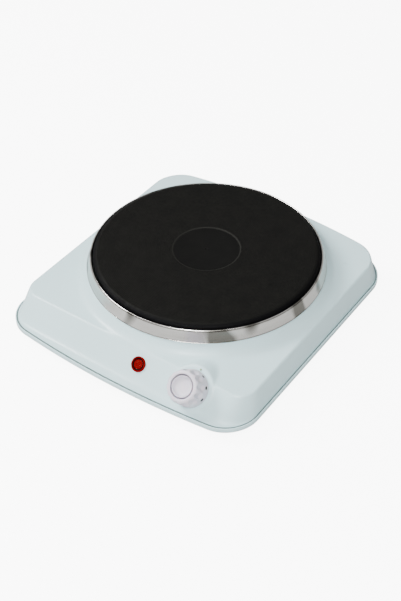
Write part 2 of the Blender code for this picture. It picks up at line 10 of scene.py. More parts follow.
import bmesh
import bpy
import numpy as np
from mathutils import Matrix, Vector


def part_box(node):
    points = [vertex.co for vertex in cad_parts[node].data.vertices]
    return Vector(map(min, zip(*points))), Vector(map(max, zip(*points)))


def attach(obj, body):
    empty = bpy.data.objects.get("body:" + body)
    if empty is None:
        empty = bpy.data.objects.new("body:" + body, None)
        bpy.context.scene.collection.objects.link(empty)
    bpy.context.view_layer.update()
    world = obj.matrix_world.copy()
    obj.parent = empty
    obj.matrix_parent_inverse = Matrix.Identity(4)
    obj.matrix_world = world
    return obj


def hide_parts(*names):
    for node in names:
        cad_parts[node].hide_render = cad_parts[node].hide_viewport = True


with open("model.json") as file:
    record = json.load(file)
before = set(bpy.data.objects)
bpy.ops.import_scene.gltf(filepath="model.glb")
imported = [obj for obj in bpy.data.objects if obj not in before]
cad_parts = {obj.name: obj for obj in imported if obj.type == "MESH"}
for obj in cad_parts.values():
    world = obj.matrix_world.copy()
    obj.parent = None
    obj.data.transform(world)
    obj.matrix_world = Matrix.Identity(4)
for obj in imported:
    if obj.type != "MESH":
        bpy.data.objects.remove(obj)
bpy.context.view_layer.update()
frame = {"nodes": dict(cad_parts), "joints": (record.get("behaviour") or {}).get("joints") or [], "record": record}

MM = 0.001
NODES = frame["nodes"]


def corners_of(node):
    low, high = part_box(node)
    return np.array(low) / MM, np.array(high) / MM


# Places taken from the frame
HOUSING_LOW, HOUSING_HIGH = corners_of("housing")
PLATE_LOW, PLATE_HIGH = corners_of("hotplate")
GLAND_LOW, GLAND_HIGH = corners_of("cord_gland")
LAMP_X = float(sum(corners_of("lamp_lens"))[0] / 2)
PLATE_X, PLATE_Y = (PLATE_LOW + PLATE_HIGH)[:2] / 2
PLATE_TOP = float(PLATE_HIGH[2])
PLATE_R = float(PLATE_HIGH[0] - PLATE_LOW[0]) / 2
SHOULDER_R = PLATE_R - 3.9                  # edge of the plate's flat face
RECESS_R = 27.6                             # shallow recess in the middle of it
KNOB_TURN = next(joint for joint in frame["joints"] if joint["name"] == "knob_turn")
KNOB_FOOT = Vector(KNOB_TURN["pos_m"]) / MM
PANEL_OUT = Vector(KNOB_TURN["axis"]).normalized()
PANEL_TILT = math.atan2(-PANEL_OUT.y, PANEL_OUT.z)

# Front panel and deck
KNOB_DOWN, LAMP_DOWN = 9.75, 11.4           # below the crease, down the slope
CREASE_Y = KNOB_FOOT.y + KNOB_DOWN * math.cos(PANEL_TILT)
DECK_Z = KNOB_FOOT.z + KNOB_DOWN * math.sin(PANEL_TILT)
PANEL_FOOT_Z = 13.4
PANEL_FOOT_BOW = 3.0
FOOT_ROUNDING, CREASE_ROUNDING = 5.0, 2.4
SEAT_R = 18.0
SEAT_TAPER = 0.436                          # how fast the seat widens below its rim
SEAT_BLEND = 2.2

# Lip round the bottom
HALF_W = float(HOUSING_HIGH[0])
LIP_BOTTOM = float(HOUSING_LOW[2])
LIP_TOP = LIP_BOTTOM + 4.0
BOW_FRONT, BOW_BACK = 8.3, 11.0             # how far its front and back bulge
LIP_CORNER_FRONT, LIP_CORNER_BACK = 25.7, 27.0
GROOVE_Z = LIP_TOP - 1.8                    # bottom of the groove behind the lip
FLANGE_INSET, FLANGE_BOW = 2.1, 7.7         # inner side of the groove, where the slopes start
LIP_FRONT = float(HOUSING_LOW[1]) + BOW_FRONT
LIP_BACK = float(HOUSING_HIGH[1]) - BOW_BACK
SHEET = 0.8
SPINDLE_HOLE_R, LAMP_HOLE_R, INLET_HOLE_R = 4.5, 4.9, 6.5

# Collar that the plate's ring stands on
SHELF_Z = float(HOUSING_HIGH[2])
SHELF_R, COLLAR_R, OPENING_R = 97.0, 107.4, 90.5

# Knob
FLUTES = 13
FLUTE_R = 3.1
FLUTE_OUTER, FLUTE_DEPTH = 14.7, 2.8
FLUTE_LOW, FLUTE_FULL = 4.8, 10.5           # heights where a flute starts and where it is deepest
FLUTE_START = math.radians(12.2)            # clockwise from straight up the slope
FLUTE_STEPS = 20                            # columns of the grip's grid in each
POCKET_R, POCKET_Z = 9.2, 12.95             # pocket that the cap sits in
DOTS = ((30, 1.15), (66.5, 1.4), (104.5, 1.4))      # clockwise degrees from up the slope, and radius
DOT_OUT, DOT_HEIGHT, DOT_LEAN = 14.2, 4.5, -84.3
MARK_AT = (1.15, 15.76, 0.55)               # on the seat, from the knob's foot

# Lamp
DOME_R, DOME_ROWS, LAMP_STEPS = 3.6, 24, 96
RIB_PITCH, RIB_HEIGHT = 1.5, 0.3            # diagonal ribs across its dome
RIB_SLANT = math.radians(-50)

# Feet and inlet
FOOT_H = 9.3
GLAND_X = float(GLAND_LOW[0] + GLAND_HIGH[0]) / 2
GLAND_Z = float(GLAND_LOW[2] + GLAND_HIGH[2]) / 2
GLAND_FACE = float(GLAND_HIGH[1])

CREASE = Matrix.Translation(Vector((0, CREASE_Y, DECK_Z)) * MM) @ Matrix.Rotation(PANEL_TILT, 4, "X")


def on_panel(x, down):
    """Frame on the front panel: local +Y runs up its slope and +Z out of it."""
    return CREASE @ Matrix.Translation(Vector((x, -down, 0)) * MM)


AT_KNOB = on_panel(KNOB_FOOT.x, KNOB_DOWN)
AT_LAMP = on_panel(LAMP_X, LAMP_DOWN)
AT_PLATE = Matrix.Translation(Vector((PLATE_X, PLATE_Y, PLATE_TOP)) * MM)
AT_GLAND = Matrix.Translation(Vector((GLAND_X, 0, GLAND_Z)) * MM) @ Matrix.Rotation(-math.pi / 2, 4, "X")


# --- materials -----------------------------------------------------------------------------------

MIX_FIRST, MIX_SECOND, MIX_RESULT = 6, 7, 2     # the colour sockets of a Mix node


def new_look(name, color, roughness, metallic=0.0, **sockets):
    made = bpy.data.materials.new(name)
    made.use_nodes = True
    shader = made.node_tree.nodes["Principled BSDF"]
    shader.inputs["Base Color"].default_value = (*color, 1)
    shader.inputs["Roughness"].default_value = roughness
    shader.inputs["Metallic"].default_value = metallic
    for socket, value in sockets.items():
        shader.inputs[socket.replace("_", " ")].default_value = value
    return made


def add_node(look, kind, inputs=(), **settings):
    made = look.node_tree.nodes.new(kind)
    for name, value in settings.items():
        setattr(made, name, value)
    for socket, value in dict(inputs).items():
        made.inputs[socket].default_value = value
    return made


def join(look, source, node, socket):
    look.node_tree.links.new(source, node.inputs[socket])


def shader_of(look):
    return look.node_tree.nodes["Principled BSDF"]


def placed(look, stretch=(1, 1, 1)):
    """The object's own coordinates, squeezed along some axes."""
    place = add_node(look, "ShaderNodeTexCoord")
    mapping = add_node(look, "ShaderNodeMapping", {"Scale": stretch})
    join(look, place.outputs["Object"], mapping, "Vector")
    return mapping.outputs["Vector"]


def noise(look, scale, detail=3.0, stretch=(1, 1, 1)):
    """Noise with that many cells in a metre."""
    made = add_node(look, "ShaderNodeTexNoise", {"Scale": scale, "Detail": detail, "Roughness": 0.6})
    join(look, placed(look, stretch), made, "Vector")
    return made.outputs["Fac"]


def between(look, source, low, high, start=0.3, end=0.7):
    """A value from low to high as the source goes from start to end."""
    made = add_node(look, "ShaderNodeMapRange", {
        "From Min": start, "From Max": end, "To Min": low, "To Max": high})
    join(look, source, made, "Value")
    return made.outputs["Result"]


def tinted(look, source, low, high, start=0.3, end=0.7):
    """Base colour from low to high with the source."""
    made = add_node(look, "ShaderNodeValToRGB")
    made.color_ramp.elements[0].position = start
    made.color_ramp.elements[0].color = (*low, 1)
    made.color_ramp.elements[1].position = end
    made.color_ramp.elements[1].color = (*high, 1)
    join(look, source, made, "Fac")
    join(look, made.outputs["Color"], shader_of(look), "Base Color")
    return made.outputs["Color"]


def rough(look, source, low, high):
    join(look, between(look, source, low, high), shader_of(look), "Roughness")


def bumped(look, source, strength, depth, under=None):
    """Relief of a depth in millimetres; more relief may lie under it."""
    made = add_node(look, "ShaderNodeBump", {"Strength": strength, "Distance": depth * MM})
    join(look, source, made, "Height")
    if under is not None:
        join(look, under, made, "Normal")
    join(look, made.outputs["Normal"], shader_of(look), "Normal")
    return made.outputs["Normal"]


def rings(look, pitch, distortion=0.0):
    """Turned rings about the object's Z axis."""
    made = add_node(look, "ShaderNodeTexWave", {
        "Scale": 1 / (math.pi * pitch * MM), "Distortion": distortion, "Detail": 2.0, "Detail Scale": 3.0},
        wave_type="RINGS", rings_direction="Z")
    join(look, placed(look), made, "Vector")
    return made.outputs["Fac"]


def scaled(color, factor):
    return tuple(min(part * factor, 1) for part in color)


def mixed(look, factor, first, second):
    """Colour that goes from the first to the second with the factor."""
    made = add_node(look, "ShaderNodeMix", data_type="RGBA")
    made.inputs[MIX_SECOND].default_value = (*second, 1)
    join(look, factor, made, "Factor")
    join(look, first, made, MIX_FIRST)
    return made.outputs[MIX_RESULT]


def enamel():
    color = (0.575, 0.77, 0.80)
    look = new_look("enamel", color, 0.3, Specular_IOR_Level=0.35, Coat_Weight=0.12, Coat_Roughness=0.15)
    tinted(look, noise(look, 9, 2), scaled(color, 0.975), scaled(color, 1.025))
    rough(look, noise(look, 60), 0.27, 0.34)
    ripple = bumped(look, noise(look, 45, 1), 0.25, 0.12)
    bumped(look, noise(look, 420, 2), 0.12, 0.05, ripple)
    return look


def cast_iron():
    """Black turned face, blacker down its shoulder as painted shade, with a painted highlight line round the
    centre recess.
    """
    look = new_look("cast_iron", (0.005, 0.005, 0.0045), 0.6, Specular_IOR_Level=0.06)
    face = tinted(look, noise(look, 70, 5), (0.0042, 0.0042, 0.0038), (0.0060, 0.0059, 0.0052))
    depth = add_node(look, "ShaderNodeSeparateXYZ")
    join(look, placed(look), depth, "Vector")
    # The base colour goes darker down the shoulder and side: painted shade.
    side = between(look, depth.outputs["Z"], 1.0, 0.0, -1.0 * MM, -0.4 * MM)
    face_with_painted_side_shade = mixed(look, side, face, (0.0015, 0.0015, 0.0018))
    # A lighter ring in the base colour at the edge of the centre recess is a painted highlight.
    radius = add_node(look, "ShaderNodeVectorMath", operation="LENGTH")
    join(look, placed(look, (1, 1, 0)), radius, "Vector")
    off = add_node(look, "ShaderNodeMath", {1: RECESS_R * MM}, operation="SUBTRACT")
    join(look, radius.outputs["Value"], off, 0)
    away = add_node(look, "ShaderNodeMath", operation="ABSOLUTE")
    join(look, off.outputs["Value"], away, 0)
    painted_highlight_ring = between(look, away.outputs["Value"], 1.0, 0.0, 0.35 * MM, 0.75 * MM)
    join(look, mixed(look, painted_highlight_ring, face_with_painted_side_shade, (0.013, 0.013, 0.0115)), shader_of(look), "Base Color")
    rough(look, noise(look, 300, 4), 0.52, 0.68)
    turning = bumped(look, rings(look, 0.55, 0.6), 0.22, 0.05)
    bumped(look, noise(look, 2600, 2), 0.35, 0.06, turning)
    return look


def stainless():
    """Spun trim ring, polished, with soft dark painted reflections in its colour, standing in for a room's
    reflections.
    """
    look = new_look("stainless", (0.58, 0.56, 0.53), 0.2, 1.0, Anisotropic=0.35)
    clean = tinted(look, noise(look, 30, 4, (1, 1, 5)), (0.48, 0.465, 0.44), (0.57, 0.555, 0.53))
    # Dark areas mixed into the base colour are painted reflections.
    painted_reflection_mask = between(look, noise(look, 34, 1, (1, 1, 0.6)), 0.0, 0.9, 0.56, 0.63)
    join(look, mixed(look, painted_reflection_mask, clean, (0.12, 0.115, 0.10)), shader_of(look), "Base Color")
    spun = noise(look, 60, 3, (1, 1, 60))
    rough(look, spun, 0.17, 0.27)
    bumped(look, spun, 0.10, 0.03)
    return look


def zinc_steel():
    look = new_look("zinc_steel", (0.52, 0.53, 0.55), 0.38, 1.0)
    tinted(look, noise(look, 120, 5), (0.44, 0.45, 0.47), (0.60, 0.61, 0.62))
    rough(look, noise(look, 400), 0.30, 0.46)
    bumped(look, noise(look, 1500, 2), 0.15, 0.03)
    return look


def brass():
    look = new_look("brass", (0.66, 0.48, 0.21), 0.34, 1.0)
    tinted(look, noise(look, 200, 4), (0.50, 0.34, 0.14), (0.74, 0.56, 0.27))
    rough(look, noise(look, 600), 0.26, 0.42)
    bumped(look, noise(look, 1800, 2), 0.1, 0.02)
    return look


def rubber():
    look = new_look("rubber", (0.03, 0.03, 0.03), 0.82, Specular_IOR_Level=0.3)
    tinted(look, noise(look, 150, 4), (0.022, 0.022, 0.023), (0.042, 0.041, 0.040))
    rough(look, noise(look, 500), 0.74, 0.9)
    bumped(look, noise(look, 1600), 0.3, 0.05)
    return look


def knob_white():
    color = (0.68, 0.645, 0.72)
    look = new_look("knob_white", color, 0.34, Subsurface_Weight=0.06, Subsurface_Scale=0.0008)
    tinted(look, noise(look, 90, 3), scaled(color, 0.975), scaled(color, 1.02))
    rough(look, noise(look, 700), 0.30, 0.40)
    bumped(look, noise(look, 1700, 2), 0.08, 0.03)
    return look


def ceramic():
    look = new_look("ceramic", (0.72, 0.69, 0.62), 0.6)
    tinted(look, noise(look, 260, 5), (0.63, 0.60, 0.53), (0.78, 0.75, 0.69))
    rough(look, noise(look, 500), 0.5, 0.72)
    bumped(look, noise(look, 1400), 0.3, 0.06)
    return look


def magnesia():
    look = new_look("magnesia", (0.68, 0.66, 0.62), 0.92)
    tinted(look, noise(look, 500, 6), (0.55, 0.53, 0.49), (0.76, 0.74, 0.70))
    bumped(look, noise(look, 1500, 4), 0.6, 0.15)
    return look


def fibre():
    look = new_look("fibre", (0.58, 0.55, 0.48), 0.95, Sheen_Weight=0.4)
    strands = noise(look, 300, 4, (1, 1, 7))
    tinted(look, strands, (0.44, 0.41, 0.35), (0.68, 0.65, 0.58))
    bumped(look, strands, 0.7, 0.2)
    return look


def lamp_red():
    look = new_look("lamp_red", (0.17, 0.0, 0.0), 0.35, Specular_IOR_Level=0.05)
    tinted(look, noise(look, 500, 3), (0.15, 0.0, 0.0), (0.20, 0.0, 0.0))
    rough(look, noise(look, 900), 0.18, 0.28)
    bumped(look, noise(look, 1500), 0.05, 0.02)
    return look


def lens_red():
    look = new_look("lens_red", (0.15, 0.0, 0.0), 0.3, Specular_IOR_Level=0.07)
    tinted(look, noise(look, 700, 3), (0.14, 0.0, 0.0), (0.20, 0.0, 0.0))
    rough(look, noise(look, 1200), 0.12, 0.22)
    bumped(look, noise(look, 2000), 0.06, 0.02)
    return look


def neon_glass():
    look = new_look("neon_glass", (0.90, 0.86, 0.80), 0.05, Transmission_Weight=0.9)
    tinted(look, noise(look, 300, 3), (0.84, 0.79, 0.73), (0.93, 0.89, 0.84))
    bumped(look, noise(look, 500), 0.05, 0.03)
    return look


def sleeve(name, color):
    """Silicone insulation with the fine ribs that drawing leaves."""
    look = new_look(name, color, 0.55)
    tinted(look, noise(look, 220, 4), scaled(color, 0.8), scaled(color, 1.15))
    rough(look, noise(look, 700), 0.45, 0.65)
    bumped(look, noise(look, 1300), 0.2, 0.04)
    return look


def dark_plastic():
    look = new_look("dark_plastic", (0.022, 0.022, 0.023), 0.48)
    tinted(look, noise(look, 160, 4), (0.016, 0.016, 0.017), (0.030, 0.030, 0.031))
    rough(look, noise(look, 800), 0.40, 0.58)
    bumped(look, noise(look, 1500, 4), 0.25, 0.05)
    return look


def ink_or_painted_shade(name, color, gloss=0.5):
    """Pad-printed ink, thin and slightly uneven; the same flat colour also lines a groove and a gap as painted
    shade.
    """
    look = new_look(name, color, 0.5, Specular_IOR_Level=gloss)
    tinted(look, noise(look, 900, 4), scaled(color, 0.8), scaled(color, 1.3))
    bumped(look, noise(look, 2500), 0.1, 0.02)
    return look


LOOKS = {
    "enamel": enamel(), "cast_iron": cast_iron(), "stainless": stainless(), "zinc_steel": zinc_steel(),
    "brass": brass(), "rubber": rubber(), "knob_white": knob_white(), "ceramic": ceramic(),
    "magnesia": magnesia(), "fibre": fibre(), "lamp_red": lamp_red(), "lens_red": lens_red(),
    "neon_glass": neon_glass(), "lead_brown": sleeve("lead_brown", (0.16, 0.07, 0.03)),
    "lead_blue": sleeve("lead_blue", (0.04, 0.14, 0.38)),
    "lead_earth": sleeve("lead_earth", (0.40, 0.50, 0.04)), "dark_plastic": dark_plastic(),
}
# The groove and gap shades are painted shade: dark flat colour laid where a groove and a gap fall in shadow.
PAINTED_GROOVE_SHADE = ink_or_painted_shade("painted_groove_shade", (0.08, 0.125, 0.125))
DOT_INK = ink_or_painted_shade("dot_ink", (0.038, 0.022, 0.030), gloss=0.3)
PAINTED_GAP_SHADE = ink_or_painted_shade("painted_gap_shade", (0.16, 0.14, 0.18), gloss=0.1)
LAMP_GASKET = ink_or_painted_shade("lamp_gasket", (0.003, 0.001, 0.001), gloss=0.03)
TICK_INK = ink_or_painted_shade("tick_ink", (0.20, 0.26, 0.11))


def dress_frame():
    """The frame's own nodes take their finish from their slot in the record."""
    for piece in frame["record"]["subparts"]:
        mesh = NODES[piece["node"]].data
        mesh.materials.clear()
        mesh.materials.append(LOOKS[piece["material_slot"]])


# --- shapes --------------------------------------------------------------------------------------


def quads(rows, columns):
    """Faces of a grid whose last column meets the first."""
    row, column = np.meshgrid(np.arange(rows - 1), np.arange(columns), indexing="ij")
    here = row * columns + column
    beside = row * columns + (column + 1) % columns
    return np.stack([here, beside, beside + columns, here + columns], axis=-1).reshape(-1, 4)


def piece_from(name, points, faces, slot_name, at=None, body="base", look=None, stands_for=(), sharp=38):
    """A smooth mesh object from points in millimetres, riding on its body."""
    mesh = bpy.data.meshes.new(name)
    mesh.from_pydata((points.reshape(-1, 3) * MM).tolist(), [], faces.tolist())
    bm = bmesh.new()
    bm.from_mesh(mesh)
    bmesh.ops.remove_doubles(bm, verts=bm.verts, dist=0.001 * MM)
    loose = [vert for vert in bm.verts if not vert.link_faces]
    bmesh.ops.delete(bm, geom=loose, context="VERTS")
    bm.to_mesh(mesh)
    bm.free()
    mesh.shade_smooth()
    mesh.set_sharp_from_angle(angle=math.radians(sharp))
    mesh.materials.append(look or LOOKS[slot_name])
    made = bpy.data.objects.new(name, mesh)
    bpy.context.scene.collection.objects.link(made)
    if at is not None:
        made.matrix_world = at
    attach(made, body)
    if stands_for:
        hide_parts(*stands_for)
    return made


def towards(here, other, reach):
    """Points part of the way to others, by a length but never past the middle."""
    span = np.maximum(np.linalg.norm(other - here, axis=-1, keepdims=True), 1e-6)
    return here + (other - here) * np.minimum(reach / span, 0.48)


def eased(levels):
    """Rows through control levels; a level (points, reach, steps) is a corner rounded in those steps."""
    rows = [levels[0][0]]
    for (before, *_), (here, reach, steps), (after, *_) in zip(levels, levels[1:], levels[2:]):
        start, end = towards(here, before, reach), towards(here, after, reach)
        for t in np.linspace(0, 1, steps + 1):
            rows.append((1 - t) ** 2 * start + 2 * t * (1 - t) * here + t**2 * end)
    rows.append(levels[-1][0])
    return rows


def divided(rows, longest):
    """The same rows with more between those that lie further apart than the longest."""
    full = [rows[0]]
    for a, b in zip(rows, rows[1:]):
        count = math.ceil(np.linalg.norm(b - a, axis=-1).max() / longest)
        full += [a + (b - a) * i / count for i in range(1, count + 1)]
    return full


def eased_profile(corners, steps=4, loop=False):
    """Profile points from corners (radius, height, reach of the rounding)."""
    levels = [(np.array(corner[:2], float), corner[2], steps) for corner in corners]
    if loop:
        levels = [levels[-1], *levels, levels[0]]
        return [*eased(levels)[1:-1], eased(levels)[1]]
    return eased(levels)


def turned_points(profile, steps):
    """Grid of points from a profile (radius, height) turned about Z."""
    radius, height = np.array(profile).T
    turn = np.linspace(0, 2 * math.pi, steps, endpoint=False)
    x = radius[:, None] * np.cos(turn)
    y = radius[:, None] * np.sin(turn)
    return np.stack([x, y, np.broadcast_to(height[:, None], x.shape)], axis=-1)


def turned(name, profile, slot_name, at, steps=192, **more):
    """A turned piece; its profile runs top to bottom down the outer side."""
    points = turned_points(profile, steps)
    return piece_from(name, points, quads(len(profile), steps)[:, ::-1], slot_name, at, **more)


def smooth_max(a, b, reach):
    near = np.maximum(reach - np.abs(a - b), 0) / reach
    return np.maximum(a, b) + near**2 * reach / 4


# --- housing -------------------------------------------------------------------------------------

CORNER_STEPS = 22


def spaced(count, around=None, width=0.15, extra=2.0):
    """Fractions along a side without its ends, closer together around one place."""
    fine = np.linspace(0, 1, 400)
    density = np.ones_like(fine)
    if around is not None:
        density += extra * np.exp(-(((fine - around) / width) ** 2))
    total = np.concatenate([[0], np.cumsum((density[1:] + density[:-1]) / 2)])
    return np.interp(np.linspace(0, 1, count + 2)[1:-1], total / total[-1], fine)


KNOB_ALONG = 0.5 + KNOB_FOOT.x / (2 * (HALF_W - 24.0))      # the knob's place along the front
SIDES = (spaced(70), spaced(60), spaced(200, KNOB_ALONG), spaced(60))


def outline(z, half_w, front, bow_front, back, bow_back, r_front, r_back):
    """Rounded rectangle at height z whose front and back bulge, anticlockwise from above."""
    corners = (
        (half_w - r_back, back - r_back, r_back),
        (r_back - half_w, back - r_back, r_back),
        (r_front - half_w, front + r_front, r_front),
        (half_w - r_front, front + r_front, r_front),
    )
    arcs = []
    for quarter, (x, y, r) in enumerate(corners):
        turn = math.pi / 2 * (quarter + np.linspace(0, 1, CORNER_STEPS))
        arcs.append(np.column_stack([x + r * np.cos(turn), y + r * np.sin(turn)]))
    runs = []
    for quarter, arc in enumerate(arcs):
        start, end = arc[-1], arcs[(quarter + 1) % 4][0]
        runs += [arc, start + (end - start) * SIDES[quarter][:, None]]
    x, y = np.concatenate(runs).T
    bow = np.where(y > 0, bow_back, -bow_front)
    return np.column_stack([x, y + bow * (1 - (x / half_w) ** 2), np.full_like(x, z)])


def lip(z, inset, bow=BOW_FRONT):
    """Outline of the lip at a height, moved inwards; its front may bulge less."""
    return outline(z, HALF_W - inset, LIP_FRONT + inset, bow, LIP_BACK - inset, BOW_BACK,
                   LIP_CORNER_FRONT - inset, LIP_CORNER_BACK - inset)


def lip_levels():
    """Control levels of the lip, from its underside up to the groove behind it."""
    return [
        (lip(LIP_BOTTOM, 0.45), 0, 0),
        (lip(LIP_BOTTOM, 0), 0.5, 3),
        (lip(LIP_TOP, 0), 0.6, 4),
        (lip(LIP_TOP, 0.9), 0.25, 2),
        (lip(GROOVE_Z, 1.1), 0.3, 2),
        (lip(GROOVE_Z, 1.9), 0.3, 2),
        (lip(LIP_TOP, FLANGE_INSET, FLANGE_BOW), 0, 0),
    ]


def slope_levels():
    """Control levels of the flange, the slopes and the deck's rounded edge."""
    run = (DECK_Z - PANEL_FOOT_Z) / math.tan(PANEL_TILT)
    foot = outline(PANEL_FOOT_Z, HALF_W - 2.3, CREASE_Y - run + PANEL_FOOT_BOW, PANEL_FOOT_BOW,
                   LIP_BACK - 2.3, BOW_BACK, 24.0, 25.4)
    crease = outline(DECK_Z, HALF_W - 6.4, CREASE_Y, 0, LIP_BACK - 6.9, BOW_BACK, 14.7, 22.0)
    inside = outline(DECK_Z, HALF_W - 9.6, CREASE_Y + 3.2, 0, LIP_BACK - 10.1, BOW_BACK, 11.5, 18.8)
    return [
        (lip(LIP_TOP, FLANGE_INSET, FLANGE_BOW), 0, 0),
        (foot, FOOT_ROUNDING, 12),
        (crease, CREASE_ROUNDING, 9),
        (inside, 0, 0),
    ]


def deck_rings(edge):
    """Rings from the deck's edge to the opening under the plate, closest together on the collar."""
    centre = np.array([PLATE_X, PLATE_Y])
    away = edge[:, :2] - centre
    reach = np.linalg.norm(away, axis=1, keepdims=True)
    radii = [SHELF_R + (reach - SHELF_R) * t**2 for t in np.linspace(1, 0, 28)[1:]]
    radii += [SHELF_R - 0.7, SHELF_R - 2, OPENING_R]
    height = np.full((len(edge), 1), DECK_Z)
    return [np.hstack([centre + away / reach * r, height]) for r in radii]


def raise_collar(points):
    """Lifts what lies near the plate into the concave collar round it."""
    radius = np.hypot(points[..., 0] - PLATE_X, points[..., 1] - PLATE_Y)
    t = np.clip((radius - SHELF_R) / (COLLAR_R - SHELF_R), 0, 1)
    points[..., 2] += (SHELF_Z - DECK_Z) * (1 - t) ** 2


def in_frame(points, at):
    """Points in millimetres as seen from a frame."""
    turn = np.array(at.to_3x3())
    return (points - np.array(at.translation) / MM) @ turn


def raise_seat(points):
    """Lifts what lies under the knob onto its round seat, out of the panel."""
    x, y, z = np.moveaxis(in_frame(points, AT_KNOB), -1, 0)
    drop = smooth_max(np.hypot(x, y) - SEAT_R, 0, 0.9) / SEAT_TAPER
    lift = smooth_max(-z - drop, 0, SEAT_BLEND)
    points += lift[..., None] * np.array(PANEL_OUT)


def open_holes(points, faces):
    """The faces left when those over the spindle, the lamp and the inlet are taken away."""
    middle = points.reshape(-1, 3)[faces].mean(axis=1)
    kept = np.ones(len(faces), bool)
    for at, radius in ((AT_KNOB, SPINDLE_HOLE_R), (AT_LAMP, LAMP_HOLE_R), (AT_GLAND, INLET_HOLE_R)):
        x, y, z = in_frame(middle, at).T
        kept &= (np.hypot(x, y) > radius) | (z < -5)
    return faces[kept]


def make_housing():
    slopes = divided(eased(slope_levels()), 0.8)
    pressed = np.array(slopes + deck_rings(slopes[-1]))
    raise_collar(pressed)
    raise_seat(pressed)
    points = np.concatenate([eased(lip_levels())[:-1], pressed])
    faces = open_holes(points, quads(len(points), points.shape[1]))
    made = piece_from("housing_skin", points, faces, "enamel", stands_for=["housing"], sharp=50)
    sheet = made.modifiers.new("sheet", "SOLIDIFY")
    sheet.thickness = SHEET * MM

    # A dark strip laid in the groove behind the lip is painted shade for the groove's shadow line.
    painted_groove_strip = np.array([lip(LIP_TOP - 0.6, 0.9), lip(LIP_TOP - 0.5, FLANGE_INSET, FLANGE_BOW)])
    piece_from("lip_groove_painted_shade", painted_groove_strip, quads(2, painted_groove_strip.shape[1]), "enamel", look=PAINTED_GROOVE_SHADE)


# --- hotplate ------------------------------------------------------------------------------------


def machined_top():
    """The cooking face from its middle outwards: a dimple, a shallow recess and fine turned rings."""
    rows = eased_profile([(0, -0.95, 0), (0.6, -0.95, 0.3), (1.4, -0.55, 0.4), (27.0, -0.6, 0.5),
                          (28.1, 0, 0.5), (28.9, 0, 0)], steps=3)
    first, last, pitch = 29.2, SHOULDER_R - 0.3, 1.45
    for radius in np.arange(first, last, pitch / 5):
        rows.append(np.array([radius, -0.035 * (1 - math.cos(2 * math.pi * (radius - first) / pitch))]))
    return rows


def make_hotplate():
    edge = eased_profile([
        (SHOULDER_R - 0.2, 0, 0), (SHOULDER_R, 0, 0.4), (PLATE_R - 1, -1.3, 1.2), (PLATE_R, -2.9, 0.6),
        (PLATE_R, -6.5, 0.4), (89.0, -6.9, 0.3),
        (89.0, -13.2, 0.5), (84.0, -13.2, 0.5), (84.0, -6.5, 0.6), (13.0, -8.0, 1.0), (11.0, -13.2, 0.4),
        (3.4, -13.2, 0.2), (3.4, -7.5, 0.2), (0, -7.5, 0)])
    turned("hotplate_iron", machined_top() + edge, "cast_iron", AT_PLATE, 224, stands_for=["hotplate"])


def make_spill_ring():
    """Pressed ring: a flat seat under the plate, a rolled bead and a flared skirt."""
    sheet = eased_profile([
        (89.6, -7.3, 0), (93.0, -7.3, 0.5), (93.35, -3.5, 0.6), (94.1, -2.75, 0.7), (94.9, -3.7, 0.9),
        (95.9, -8.0, 2.6), (97.5, -12.7, 0.5), (97.9, -12.95, 0)], steps=6)
    made = turned("spill_ring_skirt", divided(sheet, 1.0), "stainless", AT_PLATE, 256,
                  stands_for=["spill_ring"])
    thick = made.modifiers.new("sheet", "SOLIDIFY")
    thick.thickness = 0.4 * MM
    thick.offset = 0.0


# --- knob and lamp -------------------------------------------------------------------------------


def flute_limit(angle, height):
    """How far out the knob's grip reaches at an angle, between flutes that run out towards its foot."""
    pitch = 2 * math.pi / FLUTES
    first = math.pi / 2 - FLUTE_START
    beside = (angle - first + pitch / 2) % pitch - pitch / 2
    t = np.clip((height - FLUTE_LOW) / (FLUTE_FULL - FLUTE_LOW), 0, 1)
    centre = FLUTE_OUTER + FLUTE_R - FLUTE_DEPTH * t**2 * (3 - 2 * t)
    across = centre * np.sin(beside)
    return centre * np.cos(beside) - np.sqrt(np.maximum(FLUTE_R**2 - across**2, 0))


def make_knob():
    grip = divided(eased_profile([
        (9.3, POCKET_Z, 0), (9.35, 17.1, 0.3), (10.4, 17.4, 0.6), (11.8, 16.9, 1.0), (12.9, 15.4, 1.4),
        (13.5, 11.5, 2.0), (14.2, 4.5, 2.0), (14.5, 0.75, 0.3), (12.8, 0.75, 0.2)], steps=5), 0.5)
    under = eased_profile([(12.6, 1.2, 0), (12.0, 6.0, 0.8), (11.2, 12.4, 0.8), (5.8, 12.4, 0.5),
                           (5.8, 3.0, 0.3), (3.4, 3.0, 0.2), (3.4, 12.7, 0.2), (0, 12.7, 0)], steps=2)
    profile = [np.array([0, POCKET_Z]), np.array([POCKET_R, POCKET_Z]), *grip, *under]
    steps = FLUTES * FLUTE_STEPS
    points = turned_points(profile, steps)
    skirt = points[2:2 + len(grip)]
    radius = np.hypot(skirt[..., 0], skirt[..., 1])
    angle = np.arctan2(skirt[..., 1], skirt[..., 0])
    fluted = -smooth_max(-radius, -flute_limit(angle, skirt[..., 2]), 0.35)
    skirt[..., :2] *= (fluted / radius)[..., None]
    piece_from("knob_grip", points, quads(len(profile), steps)[:, ::-1], "knob_white", AT_KNOB,
               body="knob_and_spindle", stands_for=["knob"])

    cap = eased_profile([
        (0, 13.35, 0), (3.0, 13.4, 1.5), (6.3, 13.8, 1.4), (7.6, 16.6, 0.4), (7.9, 16.8, 0.2),
        (8.2, 16.6, 0.2), (8.3, 13.3, 0.1), (0, 13.05, 0)], steps=6)
    turned("knob_dished_cap", divided(cap, 0.8), "knob_white", AT_KNOB, 96, body="knob_and_spindle",
           stands_for=["knob_cap"])
    # The dark ring on the floor of the gap round the cap is painted shade for the deep gap.
    gap = [np.array([8.0, 13.0]), np.array([9.25, 13.0])]
    turned("knob_cap_gap_painted_shade", gap, "knob_white", AT_KNOB, 96, body="knob_and_spindle", look=PAINTED_GAP_SHADE)
    make_dots()


